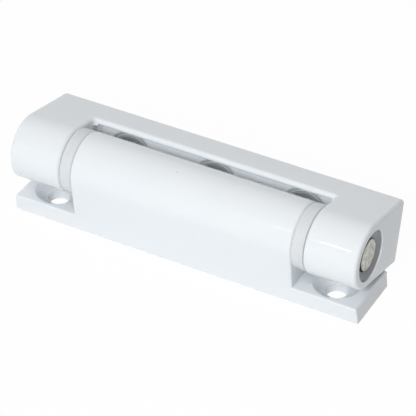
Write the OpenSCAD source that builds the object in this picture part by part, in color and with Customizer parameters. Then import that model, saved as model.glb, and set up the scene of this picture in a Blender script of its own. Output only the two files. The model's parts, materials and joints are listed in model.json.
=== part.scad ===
// Two-leaf door hinge with a hidden pin: a frame leaf that carries the long middle
// barrel, and a deep sash leaf whose end knuckles turn round it on flanged bushes.
// X runs along the pin, +Y is the back (the sash side) and +Z is up. The origin lies on
// the mounting face of the frame leaf, midway between its two screw holes.

/* [Overall] */
// Length of the sash leaf, and of the hinge but for the base plate's small overhang
hinge_length = 90; // [87:0.5:110]
// How far the base plate stands past each end of the sash leaf
base_overhang = 0.3; // [0:0.1:1]
// Gap between the leaves where the sash leaf lies on the base plate's back edge
rest_gap = 0.3; // [0.2:0.05:0.6]

/* [Frame leaf] */
// Width of the base plate at its mounting face
base_width = 15.6; // [15.2:0.1:18]
// Thickness of the base plate
base_thickness = 4.6; // [4:0.1:5]
// From the screw line, which lies under the pin, to the front edge of the mounting face
base_front = 6.1; // [5.8:0.1:7]
// How much each end of the base plate draws in from bottom to top
end_draft = 0.4; // [0.2:0.1:1.4]
// Round on the top back edge of the base plate
base_edge_round = 0.5; // [0.3:0.1:1]
// Round on the top edge at each end of the base plate
base_end_round = 0.6; // [0.3:0.1:1]
// Diameter of the middle barrel
barrel_d = 15.7; // [14.6:0.1:16]
// Back face of the neck that joins the barrel to the base plate, behind the pin
neck_reach = 5; // [3:0.1:6]
// Fillet between the neck's back and the base plate
neck_fillet = 2; // [1:0.1:2.5]

/* [Frame leaf screws] */
// From each end of the base plate to the middle of its screw hole
screw_inset = 8.4; // [7:0.1:8.8]
// Screw hole diameter in both leaves
screw_hole_d = 5.2; // [4.5:0.1:6]
// Mouth diameter of the countersinks in the base plate
countersink_d = 11.3; // [9.5:0.1:11.5]
// Depth of the countersinks in the base plate
countersink_depth = 2.3; // [2:0.1:3.2]

/* [Sash leaf] */
// From the pin axis to the mounting face of the sash leaf
sash_depth = 16; // [15:0.1:20]
// Thickness of the sash leaf, which is also the diameter of its knuckles
sash_thickness = 16.1; // [15.8:0.1:16.4]
// Length of each knuckle; the barrel and its flanged bushes fill what is left between
knuckle_length = 13.2; // [12:0.1:14.4]
// Round on the outer end edges of the sash leaf
end_round = 0.8; // [0.2:0.1:1.2]
// Round on the top back edge of the sash leaf and on its upright back edges
back_round = 0.6; // [0.2:0.1:1]
// Round on the lower back edge of the sash leaf
heel_round = 0.9; // [0.5:0.1:1.5]
// From the pin axis to the face of the pocket behind the barrel
pocket_reach = 10.3; // [9.6:0.1:11]
// Fillets in the corners of the pocket
pocket_fillet = 1.5; // [0.8:0.1:1.6]
// From the pin axis to the nose of the lip that covers the pocket
lip_reach = 7.5; // [7:0.1:8.4]
// Thickness of that lip, whose nose is a half round; the knuckles' inner edges match it
lip_thickness = 1.7; // [1.4:0.1:2.2]
// Round in plan at each end of the slot, where the lip runs into a knuckle
slot_corner = 1; // [0.4:0.1:1.5]

/* [Sash leaf screw seats] */
// Distance between neighbouring screw seats
seat_pitch = 23; // [18:0.5:24]
// Outside diameter of a seat bush
seat_d = 12; // [11:0.1:13]
// Length of a seat bush
seat_length = 3.6; // [3:0.1:4]
// Mouth diameter of the countersink in a seat bush
seat_mouth_d = 9.4; // [8.4:0.1:10]
// Depth of the countersink in a seat bush
seat_mouth_depth = 1.95; // [1.5:0.05:2.5]

/* [Pin and bushes] */
// Diameter of the hinge pin
pin_d = 8; // [7:0.1:8.4]
// Height of the pin axis over the mounting face
pin_height = 15.4; // [15.3:0.1:18]
// How far the pin ends lie inside the sash leaf's end faces
pin_recess = 0.7; // [0.5:0.1:2]
// Chamfer on the pin ends
pin_chamfer = 0.3; // [0.2:0.1:0.8]
// Number of serrations round each end of the pin
serration_count = 28; // [18:1:32]
// Depth of the serrations
serration_depth = 0.25; // [0.15:0.05:0.3]
// Outside diameter of the end bushes
end_bush_d = 12.2; // [11:0.1:12.6]
// How far an end bush lies inside each face of its knuckle
end_bush_recess = 0.2; // [0.1:0.05:0.5]
// How much deeper its dished outer face lies at the pin than at the rim
end_bush_dish = 0.9; // [0.2:0.1:1.2]
// Outside diameter of the flanged bushes' sleeves
sleeve_d = 11; // [10:0.1:11.4]
// Length of the flanged bushes' sleeves
sleeve_length = 24; // [15:0.5:24]
// Diameter of the flanges that show between the knuckles
flange_d = 15.6; // [14:0.1:15.7]
// Thickness of the flanges
flange_thickness = 3; // [2:0.1:4]
// Round on both rims of a flange
flange_round = 0.4; // [0.1:0.05:0.5]
// Radial running clearance of the pin in the flanged bushes
pin_clearance = 0.05; // [0.02:0.01:0.08]
// End play between each flange and its knuckle
end_play = 0.1; // [0.05:0.05:0.3]

/* [Hidden] */
$fn = 96;

// Finishes
paint_white = [0.93, 0.94, 0.95];
nylon_white = [0.86, 0.88, 0.89];
bush_grey = [0.42, 0.43, 0.45];
bare_steel = [0.62, 0.63, 0.63];

// How far a cutting shape runs past the face that it cuts
past = 1;

// The front face leans out from the foot so that it runs tangent into the barrel
barrel_r = barrel_d / 2;
foot_to_pin = norm([base_front, pin_height]);
front_lean = asin(barrel_r / foot_to_pin) - atan(base_front / pin_height);
function front_y(z) = -base_front - z * tan(front_lean);
tangent_y = -barrel_r * cos(front_lean);
tangent_z = pin_height - barrel_r * sin(front_lean);
base_length = hinge_length + 2 * base_overhang;
base_back = base_width - base_front;
screw_x = base_length / 2 - screw_inset;

// Places along the pin
knuckle_outer = hinge_length / 2;
knuckle_inner = knuckle_outer - knuckle_length;
barrel_length = 2 * (knuckle_inner - end_play - flange_thickness);
end_bush_length = knuckle_length - 2 * end_bush_recess;
pin_end = knuckle_outer - pin_recess;

// Sash leaf, drawn about the pin axis with its faces square
half_thickness = sash_thickness / 2;
lip_round = lip_thickness / 2;
lip_underside = half_thickness - lip_thickness;
seat_back = pocket_reach + seat_length;

// At rest the leaf's underside lies on the base plate's back edge, which sets its droop
edge_drop = pin_height - base_thickness;
edge_to_pin = norm([base_back, edge_drop]);
rest_droop = atan(edge_drop / base_back) - asin((half_thickness + rest_gap) / edge_to_pin);

// Draws a profile, given as (y, z), along X over a length centred on the middle
module along_x(length) {
    translate([-length / 2, 0, 0])
        rotate([90, 0, 90])
            linear_extrude(height = length)
                children();
}

// Draws a profile, given as (x, z), from y = 0 backwards over a depth
module along_y(depth) {
    translate([0, depth, 0])
        rotate([90, 0, 0])
            linear_extrude(height = depth)
                children();
}

// What a round of radius r takes off a corner that points to (+x, +y) at the origin
module corner_cut(r) {
    difference() {
        translate([-r, -r])
            square(r + past);
        translate([-r, -r])
            circle(r);
    }
}

// What a fillet of radius r adds in a corner that opens to (+x, +y) at the origin
module corner_fill(r) {
    difference() {
        square(r);
        translate([r, r])
            circle(r);
    }
}

// A cylinder along X from x0 to x1
module rod_x(d, x0, x1) {
    translate([x0, 0, 0])
        rotate([0, 90, 0])
            cylinder(d = d, h = x1 - x0);
}

// Places what turns with the sash leaf: on the pin axis, hanging at rest
module on_sash() {
    translate([0, 0, pin_height])
        rotate([-rest_droop, 0, 0])
            children();
}

// Side outline of the base plate
module base_outline() {
    difference() {
        polygon([[front_y(0), 0], [base_back, 0], [base_back, base_thickness],
                 [front_y(base_thickness), base_thickness]]);
        translate([base_back, base_thickness])
            corner_cut(base_edge_round);
    }
}

// What rounds the top right corner of the base plate's front outline, whose end leans in
module base_end_cut() {
    lean = atan(end_draft / base_thickness);
    centre_z = base_thickness - base_end_round;
    end_x = base_length / 2 - end_draft * centre_z / base_thickness;
    reach = base_end_round + past;
    translate([end_x - base_end_round / cos(lean), centre_z])
        difference() {
            polygon([[0, 0], [reach * cos(lean), reach * sin(lean)],
                     [2 * reach, reach], [0, reach]]);
            circle(base_end_round);
        }
}

// Front outline of the base plate, whose ends draw in towards the top
module base_front_outline() {
    difference() {
        polygon([[-base_length / 2, 0], [base_length / 2, 0],
                 [base_length / 2 - end_draft, base_thickness],
                 [end_draft - base_length / 2, base_thickness]]);
        for (side = [0, 1])
            mirror([side, 0])
                base_end_cut();
    }
}

// Side outline of the barrel and its neck: the round runs down into the flat front face.
// It meets the base plate's front edge to edge and ends inside the plate.
module barrel_outline() {
    translate([0, pin_height])
        circle(barrel_r);
    polygon([[front_y(base_thickness), base_thickness], [0, base_thickness / 2],
             [neck_reach, base_thickness / 2], [neck_reach, pin_height],
             [0, pin_height], [tangent_y, tangent_z]]);
    translate([neck_reach, base_thickness])
        corner_fill(neck_fillet);
}

// Screw hole through the base plate with its countersink
module base_screw_hole() {
    translate([0, 0, -past])
        cylinder(d = screw_hole_d, h = base_thickness + 2 * past);
    translate([0, 0, base_thickness - countersink_depth])
        cylinder(d1 = screw_hole_d, d2 = countersink_d, h = countersink_depth);
    translate([0, 0, base_thickness])
        cylinder(d = countersink_d, h = past);
}

// Frame leaf: base plate and middle barrel in one casting
module frame_leaf() {
    color(paint_white)
        difference() {
            union() {
                intersection() {
                    along_x(base_length)
                        base_outline();
                    translate([0, -base_width, 0])
                        along_y(2 * base_width)
                            base_front_outline();
                }
                along_x(barrel_length)
                    barrel_outline();
            }
            translate([0, 0, pin_height])
                rod_x(sleeve_d, -barrel_length, barrel_length);
            for (side = [-1, 1])
                translate([side * screw_x, 0, 0])
                    base_screw_hole();
        }
}

// Side outline of the sash leaf's square block behind the pin
module block_outline() {
    difference() {
        translate([0, -half_thickness])
            square([sash_depth, sash_thickness]);
        translate([sash_depth, half_thickness])
            corner_cut(back_round);
        translate([sash_depth, -half_thickness])
            mirror([0, 1])
                corner_cut(heel_round);
    }
}

// Rectangle centred on x, from y = low to y = high, with its four corners rounded
module rounded_panel(width, low, high, r) {
    difference() {
        translate([-width / 2, low])
            square([width, high - low]);
        for (side = [0, 1])
            mirror([side, 0]) {
                translate([width / 2, high])
                    corner_cut(r);
                translate([width / 2, low])
                    mirror([0, 1])
                        corner_cut(r);
            }
    }
}

// Block of the sash leaf, rounded on its end edges, back edges and heel
module sash_block() {
    intersection() {
        along_x(hinge_length)
            block_outline();
        along_y(sash_depth)
            rounded_panel(hinge_length, -half_thickness, half_thickness, end_round);
        translate([0, 0, -sash_thickness])
            linear_extrude(height = 2 * sash_thickness)
                rounded_panel(hinge_length, -sash_depth, sash_depth, back_round);
    }
}

// Round front of one knuckle: a barrel whose two end edges are rounded
module knuckle_round() {
    rotate([0, 90, 0])
        rotate_extrude()
            difference() {
                translate([0, knuckle_inner])
                    square([half_thickness, knuckle_length]);
                translate([half_thickness, knuckle_outer])
                    corner_cut(end_round);
                translate([half_thickness, knuckle_inner])
                    mirror([0, 1])
                        corner_cut(lip_round);
            }
}

// Side outline of what is cut away between the knuckles: the room for the barrel and
// the pocket behind it, less the lip that covers the pocket
module pocket_outline() {
    reach_out = sash_thickness + past;
    difference() {
        translate([-reach_out, -reach_out])
            square([reach_out + pocket_reach, 2 * reach_out]);
        translate([lip_reach + lip_round, lip_underside])
            square([pocket_reach, lip_thickness]);
        translate([lip_reach + lip_round, half_thickness - lip_round])
            circle(lip_round);
        translate([pocket_reach, lip_underside])
            rotate(180)
                corner_fill(lip_round);
        translate([lip_reach + lip_round, half_thickness])
            square([pocket_reach, reach_out]);
    }
    translate([pocket_reach, -half_thickness])
        rotate(180)
            corner_cut(lip_round);
}

// Upright fillet between the pocket's face and one knuckle
module pocket_end_fillet() {
    translate([knuckle_inner, pocket_reach, -half_thickness])
        rotate([0, 0, 180])
            linear_extrude(height = sash_thickness - lip_round)
                corner_fill(pocket_fillet);
}

// What fills the corner between the lip's nose and one knuckle, rounded in plan
module slot_corner_fill() {
    translate([knuckle_inner - slot_corner, lip_reach - slot_corner, lip_underside])
        difference() {
            cube([slot_corner, slot_corner + lip_round, lip_thickness]);
            translate([0, 0, -past])
                cylinder(r = slot_corner, h = lip_thickness + 2 * past);
        }
}

// What rounds the upper rim of the opening beside one knuckle: straight back along the
// knuckle, then round a corner that lies at y = reach and is rounded in plan by corner_r
module rim_cut(reach, corner_r) {
    bend_y = reach - corner_r;
    along_y(bend_y)
        translate([knuckle_inner, half_thickness])
            mirror([1, 0])
                corner_cut(lip_round);
    translate([knuckle_inner - corner_r, bend_y, half_thickness - lip_round])
        rotate_extrude()
            difference() {
                square([corner_r + lip_round, lip_round + past]);
                translate([corner_r + lip_round, 0])
                    circle(lip_round);
            }
}

// Bore for one seat bush, with the screw hole that runs on to the mounting face
module seat_bore() {
    rotate([-90, 0, 0]) {
        translate([0, 0, lip_reach])
            cylinder(d = seat_d, h = seat_back - lip_reach);
        cylinder(d = screw_hole_d, h = sash_depth + past);
    }
}

// Sash leaf: two knuckles on one deep block, with a pocket that clears the barrel
module sash_leaf() {
    color(paint_white)
        on_sash()
            difference() {
                union() {
                    difference() {
                        sash_block();
                        along_x(2 * knuckle_inner)
                            pocket_outline();
                    }
                    for (side = [0, 1])
                        mirror([side, 0, 0]) {
                            knuckle_round();
                            pocket_end_fillet();
                            slot_corner_fill();
                        }
                }
                for (side = [0, 1])
                    mirror([side, 0, 0]) {
                        rim_cut(lip_reach, slot_corner);
                        mirror([0, 0, 1])
                            rim_cut(pocket_reach, pocket_fillet);
                    }
                rod_x(end_bush_d, -hinge_length, hinge_length);
                for (place = [-1, 0, 1])
                    translate([place * seat_pitch, 0, 0])
                        seat_bore();
            }
}

// Hinge pin: a plain shank with serrated ends that grip the end bushes
module hinge_pin() {
    color(bare_steel)
        on_sash() {
            rod_x(pin_d, -knuckle_inner, knuckle_inner);
            for (side = [0, 1])
                mirror([side, 0, 0])
                    intersection() {
                        translate([knuckle_inner, 0, 0])
                            rotate([90, 0, 90])
                                linear_extrude(height = pin_end - knuckle_inner)
                                    serrated_outline();
                        chamfered_end();
                    }
        }
}

// Round of the pin with a V groove for each serration
module serrated_outline() {
    difference() {
        circle(d = pin_d);
        for (i = [0 : serration_count - 1])
            rotate(i * 360 / serration_count)
                translate([pin_d / 2 - serration_depth, 0])
                    polygon([[0, 0], [2 * serration_depth, serration_depth],
                             [2 * serration_depth, -serration_depth]]);
    }
}

// Envelope of one pin end, with its chamfer
module chamfered_end() {
    rod_x(pin_d, 0, pin_end - pin_chamfer);
    translate([pin_end - pin_chamfer, 0, 0])
        rotate([0, 90, 0])
            cylinder(d1 = pin_d, d2 = pin_d - 2 * pin_chamfer, h = pin_chamfer);
}

// End bush on the right: the dished ring that shows round the pin in the knuckle's end
module end_bush() {
    bush_r = end_bush_d / 2;
    rim_r = bush_r - end_bush_recess;
    color(bush_grey)
        on_sash()
            translate([knuckle_inner + end_bush_recess, 0, 0])
                rotate([0, 90, 0])
                    rotate_extrude()
                        difference() {
                            polygon([[pin_d / 2, 0], [bush_r, 0], [bush_r, end_bush_length],
                                     [rim_r, end_bush_length],
                                     [pin_d / 2, end_bush_length - end_bush_dish]]);
                            translate([bush_r, end_bush_length])
                                corner_cut(end_bush_recess);
                        }
}

module end_bush_left() {
    mirror([1, 0, 0])
        end_bush();
}

module end_bush_right() {
    end_bush();
}

// Half section of the flange, as (radius, place along the pin), with both rims rounded
module flange_section(bore_r) {
    flange_r = flange_d / 2;
    difference() {
        translate([bore_r, 0])
            square([flange_r - bore_r, flange_thickness]);
        translate([flange_r, flange_thickness])
            corner_cut(flange_round);
        translate([flange_r, 0])
            mirror([0, 1])
                corner_cut(flange_round);
    }
}

// Flanged bush on the right: its sleeve lines the barrel and its flange shows as a ring
module flanged_bush() {
    bore_r = pin_d / 2 + pin_clearance;
    flange_inner = barrel_length / 2;
    color(nylon_white)
        translate([0, 0, pin_height])
            rotate([0, 90, 0])
                rotate_extrude() {
                    translate([bore_r, flange_inner - sleeve_length])
                        square([sleeve_d / 2 - bore_r, sleeve_length]);
                    translate([0, flange_inner])
                        flange_section(bore_r);
                }
}

module flanged_bush_left() {
    mirror([1, 0, 0])
        flanged_bush();
}

module flanged_bush_right() {
    flanged_bush();
}

// Seat bush: a turned ring with a countersink, pressed into the pocket's face
module screw_seat(place) {
    color(bare_steel)
        on_sash()
            translate([place * seat_pitch, pocket_reach, 0])
                rotate([-90, 0, 0])
                    difference() {
                        cylinder(d = seat_d, h = seat_length);
                        translate([0, 0, -past])
                            cylinder(d = screw_hole_d, h = seat_length + 2 * past);
                        cylinder(d1 = seat_mouth_d, d2 = screw_hole_d, h = seat_mouth_depth);
                    }
}

module screw_seat_left() {
    screw_seat(-1);
}

module screw_seat_middle() {
    screw_seat(0);
}

module screw_seat_right() {
    screw_seat(1);
}

frame_leaf();
sash_leaf();
hinge_pin();
end_bush_left();
end_bush_right();
flanged_bush_left();
flanged_bush_right();
screw_seat_left();
screw_seat_middle();
screw_seat_right();
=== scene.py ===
# %% [markdown]
# A white door hinge for plastic-framed doors
#
# The real thing is two die-cast leaves on one steel pin. The casting on the base plate
# carries the long middle barrel, the deep one behind it carries the two end knuckles.
# Between barrel and knuckles sit nylon rings, and each knuckle holds a grey bush with
# the serrated end of the pin in it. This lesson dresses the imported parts: every piece
# is made again with the small rounds, turned lines and sawn marks that give it away, in
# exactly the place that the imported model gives.

import json
import math

import bmesh
import bpy
from mathutils import Matrix, Vector, noise


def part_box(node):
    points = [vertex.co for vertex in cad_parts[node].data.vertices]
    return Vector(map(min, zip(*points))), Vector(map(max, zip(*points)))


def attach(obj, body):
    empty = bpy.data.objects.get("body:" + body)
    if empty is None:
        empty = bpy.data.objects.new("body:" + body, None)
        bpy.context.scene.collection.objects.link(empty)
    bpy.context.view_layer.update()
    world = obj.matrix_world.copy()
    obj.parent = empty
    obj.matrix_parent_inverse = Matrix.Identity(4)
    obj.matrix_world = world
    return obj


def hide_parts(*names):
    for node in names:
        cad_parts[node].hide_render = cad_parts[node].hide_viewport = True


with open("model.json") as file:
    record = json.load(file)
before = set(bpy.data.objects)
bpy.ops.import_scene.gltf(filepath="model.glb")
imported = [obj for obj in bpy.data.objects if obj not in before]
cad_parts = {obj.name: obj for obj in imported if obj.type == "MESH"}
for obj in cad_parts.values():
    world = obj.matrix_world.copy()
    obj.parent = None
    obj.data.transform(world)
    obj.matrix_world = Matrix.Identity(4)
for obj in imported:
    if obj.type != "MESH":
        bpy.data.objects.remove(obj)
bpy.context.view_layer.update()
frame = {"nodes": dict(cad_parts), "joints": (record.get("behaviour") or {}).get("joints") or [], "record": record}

# %% [markdown]
# The hinge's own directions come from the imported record, not from measuring by eye.
# The joint says where the pin runs. The face that is screwed to the door says how far
# the rear leaf hangs down at rest, and so how its screw seats point.

# %% Read the pin's place, the rear leaf's tilt and the screw holes
MM = 0.001

joint = frame["joints"][0]
PIN_HEIGHT = joint["pos_m"][2]
mounts = {mount["name"]: mount for mount in frame["record"]["mounts"]}
door_axis = Vector(mounts["sash_face"]["axis"])
DROOP = math.atan2(-door_axis.z, door_axis.y)
SCREW_X = mounts["frame_screws"]["dims"]["spacing_x_mm"] / 2 * MM
SEAT_X = [mounts[f"sash_screw_{place}"]["pos_m"][0] for place in ("left", "middle", "right")]

ON_PIN = Matrix.Translation((0, 0, PIN_HEIGHT))
ON_SASH = ON_PIN @ Matrix.Rotation(-DROOP, 4, "X")
print(f"pin {PIN_HEIGHT / MM:.2f} mm up, rear leaf hangs by {math.degrees(DROOP):.2f} degrees")

# %% [markdown]
# A photograph of a small product is taken from far off with a long lens, so that its
# edges stay nearly parallel. This camera was worked out from the straight edges and the
# round ends of the hinge, and it looks down on it from the right. The hinge is turned by
# less than half a degree in the picture, so the camera rolls by as much.

# %% Camera at the photograph's viewing angle
VIEW_AZIMUTH = math.radians(28.87)
VIEW_ELEVATION = math.radians(37.49)
VIEW_ROLL = math.radians(-0.29)
VIEW_DISTANCE = 559.4 * MM
VIEW_AIM = Vector((-0.14, 6.82, 7.87)) * MM
LENS_MM = 207.4
SENSOR_MM = 36
NEAREST_SEEN = 10 * MM


def camera_frame(azimuth, elevation, roll):
    """The camera's right, up and backward directions, as the columns of a matrix."""
    back = Vector((math.sin(azimuth) * math.cos(elevation),
                   -math.cos(azimuth) * math.cos(elevation),
                   math.sin(elevation)))
    right = Vector((math.cos(azimuth), math.sin(azimuth), 0))
    up = back.cross(right)
    turned_right = right * math.cos(roll) + up * math.sin(roll)
    turned_up = up * math.cos(roll) - right * math.sin(roll)
    return Matrix((turned_right, turned_up, back)).transposed()


def add_camera():
    data = bpy.data.cameras.new("product_camera")
    data.lens = LENS_MM
    data.sensor_width = SENSOR_MM
    data.clip_start = NEAREST_SEEN
    camera = bpy.data.objects.new("product_camera", data)
    bpy.context.collection.objects.link(camera)
    turn = camera_frame(VIEW_AZIMUTH, VIEW_ELEVATION, VIEW_ROLL)
    back = turn.col[2]
    camera.matrix_world = Matrix.Translation(VIEW_AIM + back * VIEW_DISTANCE) @ turn.to_4x4()
    bpy.context.scene.camera = camera
    return camera


camera = add_camera()
bpy.context.scene.view_settings.view_transform = "Standard"
print("camera at", [round(c, 4) for c in camera.matrix_world.translation])

# %% [markdown]
# A material here is a small tree of nodes. Three helpers keep the trees readable. One
# turns the hex colours that designers write into the linear values that light works in.
# One adds a node with its settings and its links in a single call. One starts a material
# with its shader and its piece's own coordinates, so that a pattern moves with the piece.

# %% Colour and node helpers


def linear(hex_colour):
    """An sRGB hex colour, such as #EEF0F2, as linear red, green, blue and alpha."""
    channels = [int(hex_colour[i:i + 2], 16) / 255 for i in (1, 3, 5)]
    light = [c / 12.92 if c <= 0.04045 else ((c + 0.055) / 1.055) ** 2.4 for c in channels]
    return light + [1]


def add_node(tree, kind, settings=None, inputs=None):
    """Adds a node. settings are its own values; inputs are numbers or sockets to link."""
    node = tree.nodes.new(kind)
    for name, value in (settings or {}).items():
        setattr(node, name, value)
    for name, value in (inputs or {}).items():
        if isinstance(value, bpy.types.NodeSocket):
            tree.links.new(value, node.inputs[name])
        else:
            node.inputs[name].default_value = value
    return node


def new_material(name):
    """A material with one Principled shader, and its tree, shader and object coordinates."""
    material = bpy.data.materials.new(name)
    material.use_nodes = True
    tree = material.node_tree
    shader = tree.nodes["Principled BSDF"]
    place = add_node(tree, "ShaderNodeTexCoord").outputs["Object"]
    return material, tree, shader, place


print("helpers ready")

# %% [markdown]
# White powder coat: dry polyester powder is sprayed on the casting and baked, so it
# melts into one thick skin. To the eye that is a clean, slightly cool white with a
# good gloss. The skin never levels fully: it keeps a fine orange peel about a
# millimetre from crest to crest, and here and there a nib of dust is baked in. The nibs'
# pattern is slid along until one sits on the barrel where the photograph shows it.

# %% White powder coat
ORANGE_PEEL_MM = 1.1
PEEL_DEPTH_MM = 0.02
PAINT_DRIFT_MM = 14
NIB_SPACING_MM = 9
NIB_CORE_MM = 0.09
NIB_EDGE_MM = 0.198
NIB_STRENGTH = 0.55
NIB_SHIFT_MM = (12.66, -9.34, -4.87)


def white_powder_coat():
    material, tree, shader, place = new_material("white_powder_coat")
    drift = add_node(tree, "ShaderNodeTexNoise", {}, {
        "Vector": place, "Scale": 1 / (PAINT_DRIFT_MM * MM), "Detail": 2})
    tint = add_node(tree, "ShaderNodeMix", {"data_type": "RGBA"}, {
        "Factor": drift.outputs["Fac"], "A": linear("#EEF2F5"), "B": linear("#EAEFF3")})
    slid = add_node(tree, "ShaderNodeMapping", {}, {
        "Vector": place, "Location": [shift * MM for shift in NIB_SHIFT_MM]})
    cells = add_node(tree, "ShaderNodeTexVoronoi", {}, {
        "Vector": slid.outputs["Vector"], "Scale": 1 / (NIB_SPACING_MM * MM)})
    nib = add_node(tree, "ShaderNodeMapRange", {}, {
        "Value": cells.outputs["Distance"], "From Min": NIB_CORE_MM / NIB_SPACING_MM,
        "From Max": NIB_EDGE_MM / NIB_SPACING_MM, "To Min": NIB_STRENGTH, "To Max": 0})
    speckled = add_node(tree, "ShaderNodeMix", {"data_type": "RGBA"}, {
        "Factor": nib.outputs["Result"], "A": tint.outputs["Result"], "B": linear("#8E9194")})
    peel = add_node(tree, "ShaderNodeTexNoise", {}, {
        "Vector": place, "Scale": 1 / (ORANGE_PEEL_MM * MM), "Detail": 1.5})
    relief = add_node(tree, "ShaderNodeBump", {}, {
        "Height": peel.outputs["Fac"], "Strength": 0.35, "Distance": PEEL_DEPTH_MM * MM})
    gloss = add_node(tree, "ShaderNodeMapRange", {}, {
        "Value": drift.outputs["Fac"], "To Min": 0.075, "To Max": 0.09})
    tree.links.new(speckled.outputs["Result"], shader.inputs["Base Color"])
    tree.links.new(gloss.outputs["Result"], shader.inputs["Roughness"])
    tree.links.new(relief.outputs["Normal"], shader.inputs["Normal"])
    shader.inputs["IOR"].default_value = 1.5
    return material


paint = white_powder_coat()
print("made", paint.name)

# %% [markdown]
# Natural nylon: the bearing rings are moulded without pigment. Light goes a little way
# into them, so they look milky and a touch greyer than the paint beside them. The mould
# was turned on a lathe, and its fine lines show on the moulded face as faint bands. The
# real lines are about a tenth of a millimetre apart, too fine to show here, so they are
# drawn a few times coarser. At scale 1 Blender's wave pattern repeats every 0.314 units,
# a twentieth of a full turn in radians; divided by a real spacing it gives the scale.

# %% Natural nylon
WAVE_PERIOD = math.tau / 20
MOULD_LINE_MM = 0.45
MOULD_LINE_DEPTH_MM = 0.01
FLOW_MARK_MM = 4
LIGHT_DEPTH_MM = 1


def natural_nylon():
    material, tree, shader, place = new_material("natural_nylon")
    flow = add_node(tree, "ShaderNodeTexNoise", {}, {
        "Vector": place, "Scale": 1 / (FLOW_MARK_MM * MM), "Detail": 3})
    tint = add_node(tree, "ShaderNodeMix", {"data_type": "RGBA"}, {
        "Factor": flow.outputs["Fac"], "A": linear("#E0E3E5"), "B": linear("#D9DDE0")})
    lines = add_node(tree, "ShaderNodeTexWave", {"bands_direction": "X"}, {
        "Vector": place, "Scale": WAVE_PERIOD / (MOULD_LINE_MM * MM),
        "Distortion": 0.6, "Detail": 1})
    relief = add_node(tree, "ShaderNodeBump", {}, {
        "Height": lines.outputs["Fac"], "Strength": 0.25,
        "Distance": MOULD_LINE_DEPTH_MM * MM})
    tree.links.new(tint.outputs["Result"], shader.inputs["Base Color"])
    tree.links.new(relief.outputs["Normal"], shader.inputs["Normal"])
    shader.inputs["Roughness"].default_value = 0.36
    shader.inputs["IOR"].default_value = 1.53
    shader.inputs["Subsurface Weight"].default_value = 0.3
    shader.inputs["Subsurface Radius"].default_value = (1.0, 0.95, 0.9)
    shader.inputs["Subsurface Scale"].default_value = LIGHT_DEPTH_MM * MM
    return material


nylon = natural_nylon()
print("made", nylon.name)

# %% [markdown]
# Turned surfaces carry the fine rings that the tool leaves, centred on the axis. This
# helper gives the distance from the local X axis as a pattern: each piece that uses it
# is modelled round its own X axis, so the rings lie right without any measuring. Real
# tool rings are about 0.1 mm apart, too fine to show, so the finishes that use the
# helper draw them a few times coarser.

# %% Rings round a piece's own axis


def turned_rings(tree, place, pitch):
    """A ring pattern round the local X axis, with one ring for each pitch in metres."""
    apart = add_node(tree, "ShaderNodeSeparateXYZ", {}, {"Vector": place})
    across = add_node(tree, "ShaderNodeCombineXYZ", {}, {
        "X": apart.outputs["Y"], "Y": apart.outputs["Z"]})
    rings = add_node(tree, "ShaderNodeTexWave", {
        "wave_type": "RINGS", "rings_direction": "Z"}, {
        "Vector": across.outputs["Vector"], "Scale": WAVE_PERIOD / pitch,
        "Distortion": 0.3, "Detail": 2})
    return rings.outputs["Fac"]


print("ring helper ready")

# %% [markdown]
# Grey acetal: the bushes in the knuckles are turned from grey bar, a dense and slightly
# waxy plastic. It gives a half-matt grey with fine tool rings.

# %% Grey acetal
TOOL_RING_MM = 0.35
TOOL_RING_DEPTH_MM = 0.015
ACETAL_GRAIN_MM = 0.8


def grey_acetal():
    material, tree, shader, place = new_material("grey_acetal")
    grain = add_node(tree, "ShaderNodeTexNoise", {}, {
        "Vector": place, "Scale": 1 / (ACETAL_GRAIN_MM * MM), "Detail": 3})
    tint = add_node(tree, "ShaderNodeMix", {"data_type": "RGBA"}, {
        "Factor": grain.outputs["Fac"], "A": linear("#96989C"), "B": linear("#898B90")})
    rings = turned_rings(tree, place, TOOL_RING_MM * MM)
    relief = add_node(tree, "ShaderNodeBump", {}, {
        "Height": rings, "Strength": 0.3, "Distance": TOOL_RING_DEPTH_MM * MM})
    tree.links.new(tint.outputs["Result"], shader.inputs["Base Color"])
    tree.links.new(relief.outputs["Normal"], shader.inputs["Normal"])
    shader.inputs["Roughness"].default_value = 0.42
    shader.inputs["IOR"].default_value = 1.48
    return material


acetal = grey_acetal()
print("made", acetal.name)

# %% [markdown]
# Sawn steel: the pin is cut from bright bar with a saw, and its end is left as cut. The
# teeth leave short parallel scores with torn spots between them, so the end looks dull,
# mottled and faintly warm beside the cool white paint. The scores are drawn coarser than
# real ones, so that they show. Near the full radius the steel is painted darker, a little
# deeper in front: this is painted shade for the dark gap between the pin and its bush.

# %% Sawn steel
SAW_SCORE_MM = 0.5
SCORE_DEPTH_MM = 0.05
SCORE_STRETCH = 0.3
SAW_TILT = math.radians(25)
TORN_SPOT_MM = 1.3
GAP_SHADE_START_MM = 3.72
GAP_SHADE_FULL_MM = 3.86
GAP_SHADE_SIDE_MM = 0.2


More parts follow.
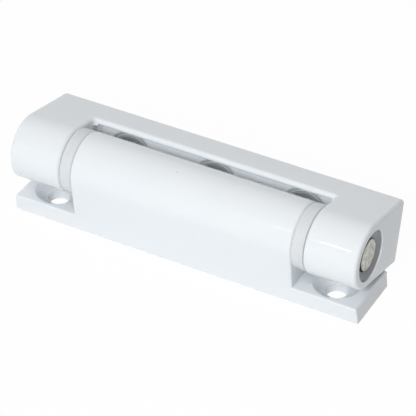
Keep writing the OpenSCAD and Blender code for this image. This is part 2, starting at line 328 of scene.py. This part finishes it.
def sawn_steel():
    material, tree, shader, place = new_material("sawn_steel")
    stretched = add_node(tree, "ShaderNodeMapping", {}, {
        "Vector": place, "Rotation": (SAW_TILT, 0, 0), "Scale": (1, 1, SCORE_STRETCH)})
    scores = add_node(tree, "ShaderNodeTexNoise", {}, {
        "Vector": stretched.outputs["Vector"], "Scale": 1 / (SAW_SCORE_MM * MM), "Detail": 4})
    spots = add_node(tree, "ShaderNodeTexNoise", {}, {
        "Vector": place, "Scale": 1 / (TORN_SPOT_MM * MM), "Detail": 3})
    mottled = add_node(tree, "ShaderNodeMapRange", {}, {
        "Value": spots.outputs["Fac"], "From Min": 0.35, "From Max": 0.65})
    tint = add_node(tree, "ShaderNodeMix", {"data_type": "RGBA"}, {
        "Factor": mottled.outputs["Result"], "A": linear("#C8C6BF"), "B": linear("#A2A29C")})
    # Painted shade: the colour goes to #3A3A38 near the pin's full radius, shifted a little to the front, in place
    # of the shadow in the gap round the pin.
    across = add_node(tree, "ShaderNodeVectorMath", {"operation": "MULTIPLY_ADD"}, {
        0: place, 1: (0, 1, 1), 2: (0, -GAP_SHADE_SIDE_MM * MM, 0)})
    radius = add_node(tree, "ShaderNodeVectorMath", {"operation": "LENGTH"}, {
        0: across.outputs["Vector"]})
    gap_shade = add_node(tree, "ShaderNodeMapRange", {}, {
        "Value": radius.outputs["Value"], "From Min": GAP_SHADE_START_MM * MM,
        "From Max": GAP_SHADE_FULL_MM * MM})
    gap_shaded = add_node(tree, "ShaderNodeMix", {"data_type": "RGBA"}, {
        "Factor": gap_shade.outputs["Result"], "A": tint.outputs["Result"], "B": linear("#3A3A38")})
    relief = add_node(tree, "ShaderNodeBump", {}, {
        "Height": scores.outputs["Fac"], "Strength": 0.6, "Distance": SCORE_DEPTH_MM * MM})
    roughness = add_node(tree, "ShaderNodeMapRange", {}, {
        "Value": spots.outputs["Fac"], "To Min": 0.35, "To Max": 0.6})
    tree.links.new(gap_shaded.outputs["Result"], shader.inputs["Base Color"])
    tree.links.new(roughness.outputs["Result"], shader.inputs["Roughness"])
    tree.links.new(relief.outputs["Normal"], shader.inputs["Normal"])
    shader.inputs["Metallic"].default_value = 1
    return material


steel = sawn_steel()
print("made", steel.name)

# %% [markdown]
# Turned steel: the screw seats are faced off on a lathe and left bare. The tool rings
# catch the light as streaks. A thin film of oxide and dried oil has dulled the metal and
# scatters part of the light, so it counts as only partly metallic: deep in the slot it
# shows the white casting round it as a neutral grey.

# %% Turned steel
SEAT_RING_MM = 0.6
SEAT_RING_DEPTH_MM = 0.1
SEAT_GRAIN_MM = 0.6


def turned_steel():
    material, tree, shader, place = new_material("turned_steel")
    grain = add_node(tree, "ShaderNodeTexNoise", {}, {
        "Vector": place, "Scale": 1 / (SEAT_GRAIN_MM * MM), "Detail": 3})
    tint = add_node(tree, "ShaderNodeMix", {"data_type": "RGBA"}, {
        "Factor": grain.outputs["Fac"], "A": linear("#E9EDED"), "B": linear("#D3D9D9")})
    rings = turned_rings(tree, place, SEAT_RING_MM * MM)
    relief = add_node(tree, "ShaderNodeBump", {}, {
        "Height": rings, "Strength": 1, "Distance": SEAT_RING_DEPTH_MM * MM})
    tree.links.new(tint.outputs["Result"], shader.inputs["Base Color"])
    tree.links.new(relief.outputs["Normal"], shader.inputs["Normal"])
    shader.inputs["Metallic"].default_value = 0.6
    shader.inputs["Roughness"].default_value = 0.5
    return material


seat_steel = turned_steel()
print("made", seat_steel.name)

# %% [markdown]
# Castings have no knife edges: the mould is rounded, and the coat pulls soft over what
# is left. A bevel could round them all alike, but real edges differ, so each one gets its
# own share of the softest round. The barrel's end edges are the softest, inside corners
# hold a little paint, and the holes are cleaned out after casting, so their rims are the
# crispest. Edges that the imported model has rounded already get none. The lengths below
# say where on the hinge such places are.

# %% Find how round each edge of a casting is
SOFTEST_ROUND = 0.6 * MM
CASTING_SHARE = 0.7
CORNER_SHARE = 0.6
HOLE_SHARE = 0.15
SMALL_FACE = 0.2 * MM ** 2
PIN_BORE = 6.3 * MM
SEAT_BORE = 6.2 * MM
COUNTERSINK = 5.9 * MM

PIN_LINE = (Vector((0, 0, PIN_HEIGHT)), Vector((1, 0, 0)), PIN_BORE)
FRAME_HOLES = [PIN_LINE] + [
    (Vector((side * SCREW_X, 0, 0)), Vector((0, 0, 1)), COUNTERSINK) for side in (-1, 1)]
SASH_HOLES = [PIN_LINE] + [(Vector((x, 0, PIN_HEIGHT)), door_axis, SEAT_BORE) for x in SEAT_X]

RING_MM = 3
RING_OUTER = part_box("flanged_bush_right")[1].x
BARREL_END = RING_OUTER - RING_MM * MM
AT_BARREL_END = 0.1 * MM
SLOT_CORNER_FROM = RING_OUTER - 1.8 * MM
SLOT_CORNER_TO = RING_OUTER + 0.3 * MM
BASE_TOP = 4.6 * MM
NECK_RISE = 1.2 * MM
NECK_FOOT = 7.2 * MM


def edge_share(edge, holes):
    """The share of the softest round that an edge gets."""
    middle = (edge.verts[0].co + edge.verts[1].co) / 2
    tiny = min(face.calc_area() for face in edge.link_faces) < SMALL_FACE
    hollow = edge.calc_face_angle_signed(0) < 0
    runs_out = 0 < middle.y < NECK_FOOT and 0 < middle.z - BASE_TOP < NECK_RISE
    already_round = SLOT_CORNER_FROM < abs(middle.x) < SLOT_CORNER_TO
    if tiny or already_round or (runs_out and not hollow):
        return 0
    for start, axis, reach in holes:
        offset = middle - start
        if (offset - axis * offset.dot(axis)).length < reach:
            return HOLE_SHARE
    if hollow:
        return CORNER_SHARE
    if all(abs(abs(vert.co.x) - BARREL_END) < AT_BARREL_END for vert in edge.verts):
        return 1
    return CASTING_SHARE


print("round holes:", len(FRAME_HOLES), "in the frame leaf,",
      len(SASH_HOLES), "in the sash leaf")

# %% [markdown]
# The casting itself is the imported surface, copied, with its triangles joined into whole
# faces. A bevel rounds the edges that are still sharp, outside and inside, each by its
# share. Its faces are shaded smooth, with the normals of the flat ones kept flat, so the
# light breaks only at the rounds, as it does on a coated casting.

# %% Round the castings' edges
EDGE_ANGLE = math.radians(35)
FLAT_ANGLE = math.radians(0.5)
SMOOTH_ANGLE = math.radians(30)
SAME_POINT = 1e-6
ROUND_STEPS = 4


def softened_casting(node_name, piece_name, holes, body):
    """A copy of a packed casting with its edges rounded, riding on the given body."""
    mesh = bpy.data.meshes.new(piece_name)
    surface = bmesh.new()
    surface.from_mesh(frame["nodes"][node_name].data)
    bmesh.ops.remove_doubles(surface, verts=surface.verts, dist=SAME_POINT)
    bmesh.ops.dissolve_limit(surface, angle_limit=FLAT_ANGLE,
                             verts=surface.verts, edges=surface.edges)
    weights = surface.edges.layers.float.new("bevel_weight_edge")
    for edge in surface.edges:
        if edge.calc_face_angle(0) > EDGE_ANGLE:
            edge[weights] = edge_share(edge, holes)
    for face in surface.faces:
        face.smooth = True
    surface.to_mesh(mesh)
    surface.free()
    mesh.set_sharp_from_angle(angle=SMOOTH_ANGLE)
    mesh.materials.append(paint)
    piece = bpy.data.objects.new(piece_name, mesh)
    bpy.context.collection.objects.link(piece)
    bevel = piece.modifiers.new("edge_round", "BEVEL")
    bevel.width = SOFTEST_ROUND
    bevel.segments = ROUND_STEPS
    bevel.limit_method = "WEIGHT"
    bevel.use_clamp_overlap = False
    bevel.loop_slide = False
    bevel.harden_normals = True
    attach(piece, body)
    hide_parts(node_name)
    return piece


frame_casting = softened_casting("frame_leaf", "frame_casting", FRAME_HOLES, "frame")
sash_casting = softened_casting("sash_leaf", "sash_casting", SASH_HOLES, "sash")
print("castings:", len(frame_casting.data.polygons), len(sash_casting.data.polygons), "faces")

# %% [markdown]
# Bushes, rings and seats are all turned or moulded round, so one helper lathes them: it
# takes the half section as a closed line of corners, rounds each corner by its own
# radius, and spins the line round the local X axis. Blender's screw modifier could spin
# it too; points set in code can also be pushed about, as the pin's serrations need.

# %% Lathe helper
LATHE_STEPS = 128
CORNER_STEPS = 5
LATHE_SMOOTH_ANGLE = math.radians(32)
STRAIGHT = 0.01


def rounded_line(corners):
    """A closed line through (x, r, round) corners in mm, with an arc at each rounded one."""
    line = []
    for i, (x, r, radius) in enumerate(corners):
        here = Vector((x, r))
        before = (Vector(corners[i - 1][:2]) - here).normalized()
        after = (Vector(corners[(i + 1) % len(corners)][:2]) - here).normalized()
        half = before.angle(after) / 2
        if radius == 0 or abs(half - math.pi / 2) < STRAIGHT:
            line.append(here)
            continue
        centre = here + (before + after).normalized() * radius / math.sin(half)
        start = here + before * radius / math.tan(half) - centre
        end = here + after * radius / math.tan(half) - centre
        for step in range(CORNER_STEPS + 1):
            line.append(centre + start.slerp(end, step / CORNER_STEPS) * radius)
    return line


def join_rings(surface, ring, following):
    """Faces between two rings of points that lie side by side."""
    for i in range(len(ring)):
        j = (i + 1) % len(ring)
        surface.faces.new((ring[i], ring[j], following[j], following[i])).smooth = True


def finish_piece(piece_name, surface, material, matrix):
    """Turns a built surface into a piece with its material, at its place on the hinge."""
    bmesh.ops.recalc_face_normals(surface, faces=surface.faces)
    mesh = bpy.data.meshes.new(piece_name)
    surface.to_mesh(mesh)
    surface.free()
    mesh.set_sharp_from_angle(angle=LATHE_SMOOTH_ANGLE)
    mesh.materials.append(material)
    piece = bpy.data.objects.new(piece_name, mesh)
    bpy.context.collection.objects.link(piece)
    piece.matrix_world = matrix
    return piece


def lathe_piece(piece_name, corners, material, matrix, body, node_name):
    """Spins a rounded half section round the local X axis into a closed ring."""
    line = rounded_line(corners)
    surface = bmesh.new()
    rings = []
    for step in range(LATHE_STEPS):
        angle = math.tau * step / LATHE_STEPS
        points = [Vector((p.x, p.y * math.cos(angle), p.y * math.sin(angle))) for p in line]
        rings.append([surface.verts.new(point * MM) for point in points])
    for ring, following in zip(rings, rings[1:] + rings[:1]):
        join_rings(surface, ring, following)
    piece = finish_piece(piece_name, surface, material, matrix)
    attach(piece, body)
    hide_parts(node_name)
    return piece


MIRRORED = Matrix.Rotation(math.pi, 4, "Z")
print("lathe ready,", LATHE_STEPS, "steps round")

# %% [markdown]
# The nylon rings: each is one moulding with the sleeve that lines the barrel. Only the
# flange shows, a plain band with softly rounded rims between barrel and knuckle.

# %% Nylon rings
BORE_R = 4.05
SLEEVE_R = 5.5
RING_RIM_MM = 0.5
HIDDEN_RIM_MM = 0.2


def nylon_ring(side, matrix):
    low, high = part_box(f"flanged_bush_{side}")
    outer = max(abs(low.x), abs(high.x)) / MM
    inner = min(abs(low.x), abs(high.x)) / MM
    flange_r = (high.z - low.z) / 2 / MM
    corners = [(inner, BORE_R, HIDDEN_RIM_MM), (inner, SLEEVE_R, HIDDEN_RIM_MM),
               (outer - RING_MM, SLEEVE_R, 0), (outer - RING_MM, flange_r, RING_RIM_MM),
               (outer, flange_r, RING_RIM_MM), (outer, BORE_R, HIDDEN_RIM_MM)]
    return lathe_piece(f"nylon_ring_{side}", corners, nylon, matrix, "frame",
                       f"flanged_bush_{side}")


nylon_rings = [nylon_ring("right", ON_PIN), nylon_ring("left", ON_PIN @ MIRRORED)]
print("nylon rings:", [len(ring.data.polygons) for ring in nylon_rings], "faces")

# %% [markdown]
# The grey bushes: pressed into the knuckles from outside, with a rounded rim and a face
# dished towards the pin. The dish leaves the pin's end inside the knuckle, and it is why
# the near side of the ring hides behind the knuckle's edge in the photograph.

# %% Grey bushes
PIN_R = 4
BUSH_DISH_MM = 0.9
BUSH_RIM_MM = 0.25
BUSH_BORE_RIM_MM = 0.1


def grey_bush(side, matrix):
    low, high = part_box(f"end_bush_{side}")
    outer = max(abs(low.x), abs(high.x)) / MM
    inner = min(abs(low.x), abs(high.x)) / MM
    bush_r = (high.y - low.y) / 2 / MM
    corners = [(inner, PIN_R, BUSH_BORE_RIM_MM), (inner, bush_r, HIDDEN_RIM_MM),
               (outer, bush_r, BUSH_RIM_MM), (outer - BUSH_DISH_MM, PIN_R, BUSH_BORE_RIM_MM)]
    return lathe_piece(f"grey_bush_{side}", corners, acetal, matrix, "sash",
                       f"end_bush_{side}")


grey_bushes = [grey_bush("right", ON_SASH), grey_bush("left", ON_SASH @ MIRRORED)]
print("grey bushes:", [len(bush.data.polygons) for bush in grey_bushes], "faces")

# %% [markdown]
# The screw seats: turned rings let into the casting at the bottom of the slot. From the
# front only the upper part of each shows, a flat face that breaks into the countersink.
# Each is lathed round its own axis, which is then turned to point at the door.

# %% Screw seats
SEAT_R = 6
SEAT_MM = 3.6
SEAT_RIM_MM = 0.15
SEAT_MOUTH_R = 4.7
SEAT_MOUTH_MM = 1.95
SEAT_MOUTH_RIM_MM = 0.08
SEAT_HOLE_R = mounts["sash_screw_left"]["dims"]["r_mm"]
SEAT_HOLE_RIM_MM = 0.1
POCKET_MM = 10.3

ALONG_DOOR = Matrix.Rotation(math.pi / 2, 4, "Z")


def screw_seat(side, x):
    back = POCKET_MM + SEAT_MM
    corners = [(POCKET_MM, SEAT_MOUTH_R, SEAT_MOUTH_RIM_MM), (POCKET_MM, SEAT_R, SEAT_RIM_MM),
               (back, SEAT_R, SEAT_RIM_MM), (back, SEAT_HOLE_R, SEAT_HOLE_RIM_MM),
               (POCKET_MM + SEAT_MOUTH_MM, SEAT_HOLE_R, SEAT_MOUTH_RIM_MM)]
    matrix = ON_SASH @ Matrix.Translation((x, 0, 0)) @ ALONG_DOOR
    return lathe_piece(f"turned_seat_{side}", corners, seat_steel, matrix, "sash",
                       f"screw_seat_{side}")


seats = [screw_seat(side, x) for side, x in zip(("left", "middle", "right"), SEAT_X)]
print("screw seats:", [len(seat.data.polygons) for seat in seats], "faces")

# %% [markdown]
# The pin: a plain shank whose ends are rolled with serrations, so that they bite into the
# bushes and the pin turns with the rear leaf. The corner is broken by a small chamfer that
# the serrations nick. A lathe can't cut the grooves, so the pin is built from rings of
# points whose radius dips at each groove.

# %% Serrations of the pin
SERRATIONS = 28
SERRATION_MM = 0.25
GRIP_MM = 12
GROOVE_START_MM = 0.3
PIN_CHAMFER_MM = 0.3
CHAMFER_NICK_MM = 0.03
POINTS_PER_SERRATION = 8
END_RINGS = (0.9, 0.8, 0.68, 0.56, 0.44, 0.32, 0.2, 0.08)


def pin_rings(half):
    """Rings from the pin's middle to its end, each as (x, radius, groove depth) in mm."""
    end_r = PIN_R - PIN_CHAMFER_MM
    shank = [(0, PIN_R, 0), (half - GRIP_MM, PIN_R, 0),
             (half - GRIP_MM + GROOVE_START_MM, PIN_R, SERRATION_MM),
             (half - PIN_CHAMFER_MM, PIN_R, SERRATION_MM), (half, end_r, CHAMFER_NICK_MM)]
    return shank + [(half, end_r * share, 0) for share in END_RINGS]


def serrated_radius(angle, radius, depth):
    """The pin's radius at an angle: a V groove is cut at each serration."""
    turn = angle * SERRATIONS / math.tau % 1
    away = min(turn, 1 - turn) * math.tau / SERRATIONS * radius
    return radius - max(0, depth - away)


print("pin:", SERRATIONS, "serrations of", SERRATION_MM, "mm")

# %% [markdown]
# The saw leaves the pin's end slightly uneven. A slow noise pushes the end's points in by
# a few hundredths of a millimetre, and its pattern is drawn out along the saw's path.

# %% Serrated pin
END_RELIEF_MM = 0.04
RELIEF_ACROSS = 1.2
RELIEF_ALONG = 0.5
RELIEF_APART = 7


def end_relief(y, z, side):
    """How far a point of the sawn end stands out, in mm: below 0 it lies deeper."""
    spot = Vector((y * RELIEF_ACROSS, z * RELIEF_ALONG, side * RELIEF_APART))
    return END_RELIEF_MM * (noise.noise(spot) - 0.5)


def pin_ring(surface, side, half, x, radius, depth):
    """One ring of points round the pin, on the side given as 1 or -1."""
    ring = []
    count = SERRATIONS * POINTS_PER_SERRATION
    for step in range(count):
        angle = math.tau * step / count
        grooved = serrated_radius(angle, radius, depth)
        y, z = grooved * math.cos(angle), grooved * math.sin(angle)
        sunk = min(end_relief(y, z, side), 0) if x == half else 0
        ring.append(surface.verts.new(Vector((side * (x + sunk), y, z)) * MM))
    return ring


def serrated_pin():
    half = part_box("hinge_pin")[1].x / MM
    sections = pin_rings(half)
    surface = bmesh.new()
    right = [pin_ring(surface, 1, half, *section) for section in sections]
    left = [pin_ring(surface, -1, half, *section) for section in sections[1:]]
    rings = left[::-1] + right
    for ring, following in zip(rings, rings[1:]):
        join_rings(surface, ring, following)
    surface.faces.new(rings[0])
    surface.faces.new(rings[-1])
    piece = finish_piece("serrated_pin", surface, steel, ON_SASH)
    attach(piece, "sash")
    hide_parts("hinge_pin")
    return piece


pin = serrated_pin()
print("pin:", len(pin.data.polygons), "faces")

# %% [markdown]
# The studio is a white table in white surroundings. Both show white to the camera and in
# reflections, and the surroundings light the hinge only faintly. The table still takes
# the hinge's shadow, because not all of its brightness is its own.

# %% White table and surroundings
TABLE_GLOW = 0.97
TABLE_HALF = 2.0
TABLE_DROP = 0.02 * MM
SURROUNDINGS_LIGHT = 0.08


def seen_directly(tree):
    """1 for what the camera sees, straight or mirrored, and 0 for what lights the hinge."""
    path = add_node(tree, "ShaderNodeLightPath")
    seen = add_node(tree, "ShaderNodeMath", {"operation": "MAXIMUM"}, {
        0: path.outputs["Is Camera Ray"], 1: path.outputs["Is Glossy Ray"]})
    return add_node(tree, "ShaderNodeMath", {"operation": "MAXIMUM"}, {
        0: seen.outputs[0], 1: path.outputs["Is Transmission Ray"]}).outputs[0]


def studio_white(name):
    material, tree, shader, _ = new_material(name)
    shader.inputs["Base Color"].default_value = linear("#F2F3F4")
    shader.inputs["Roughness"].default_value = 0.9
    glow = add_node(tree, "ShaderNodeEmission", {}, {"Color": (1, 1, 1, 1), "Strength": 1})
    share = add_node(tree, "ShaderNodeMath", {"operation": "MULTIPLY"}, {
        0: seen_directly(tree), 1: TABLE_GLOW})
    mixed = add_node(tree, "ShaderNodeMixShader", {}, {0: share.outputs[0]})
    tree.links.new(shader.outputs["BSDF"], mixed.inputs[1])
    tree.links.new(glow.outputs["Emission"], mixed.inputs[2])
    tree.links.new(mixed.outputs["Shader"], tree.nodes["Material Output"].inputs["Surface"])
    return material


def add_table():
    mesh = bpy.data.meshes.new("table")
    corners = [(-1, -1, 0), (1, -1, 0), (1, 1, 0), (-1, 1, 0)]
    mesh.from_pydata([Vector(corner) * TABLE_HALF for corner in corners], [], [(0, 1, 2, 3)])
    mesh.materials.append(studio_white("white_table"))
    table = bpy.data.objects.new("table", mesh)
    bpy.context.collection.objects.link(table)
    table.location.z = -TABLE_DROP


def light_surroundings(strength):
    world = bpy.data.worlds.new("white_studio")
    bpy.context.scene.world = world
    world.use_nodes = True
    tree = world.node_tree
    level = add_node(tree, "ShaderNodeMapRange", {}, {
        "Value": seen_directly(tree), "To Min": strength, "To Max": 1})
    background = tree.nodes["Background"]
    background.inputs["Color"].default_value = linear("#FFFFFF")
    tree.links.new(level.outputs["Result"], background.inputs["Strength"])


add_table()
light_surroundings(SURROUNDINGS_LIGHT)
print("table and surroundings ready")

# %% [markdown]
# The photograph's own light was worked out from the hinge: how bright each of its faces
# is says from where and how strongly it is lit. A front lamp and a high one near the
# camera give the even fronts. The front one is fairly small, so that its light also
# reaches under the lip and under the knuckles. Weak lamps at the left and behind lift the
# tops, and little comes from the right, so the end is dim. These four stay out of the
# reflections, as the photograph shows none of them. A small lamp that does show draws the
# thin bright line along the right knuckle.

# %% Soft lamps
LAMP_DISTANCE = 0.9
LAMP_AIM = Vector((0, 0, 12)) * MM
FRONT_SIDE = 0.22
BROAD_SIDE = 0.5
LINE_WIDTH = 0.07
LINE_HEIGHT = 0.03


def soft_lamp(name, azimuth, elevation, width, height, watts):
    """A rectangular soft lamp that points at the hinge from the given direction."""
    data = bpy.data.lights.new(name, "AREA")
    data.shape = "RECTANGLE"
    data.size = width
    data.size_y = height
    data.energy = watts
    lamp = bpy.data.objects.new(name, data)
    bpy.context.collection.objects.link(lamp)
    turn = camera_frame(math.radians(azimuth), math.radians(elevation), 0)
    place = LAMP_AIM + turn.col[2] * LAMP_DISTANCE
    lamp.matrix_world = Matrix.Translation(place) @ turn.to_4x4()
    return lamp


broad_lamps = [
    soft_lamp("front_box", 12, 35, FRONT_SIDE, FRONT_SIDE, 4.02),
    soft_lamp("high_box", -2, 50, BROAD_SIDE, BROAD_SIDE, 2.1),
    soft_lamp("left_box", -90, 50, BROAD_SIDE, BROAD_SIDE, 0.9),
    soft_lamp("rear_box", 180, 45, BROAD_SIDE, BROAD_SIDE, 1.9)]
for lamp in broad_lamps:
    lamp.visible_glossy = False
line_lamp = soft_lamp("line_lamp", -19.4, 32.6, LINE_WIDTH, LINE_HEIGHT, 0.28)
print("lamps:", [lamp.name for lamp in broad_lamps + [line_lamp]])
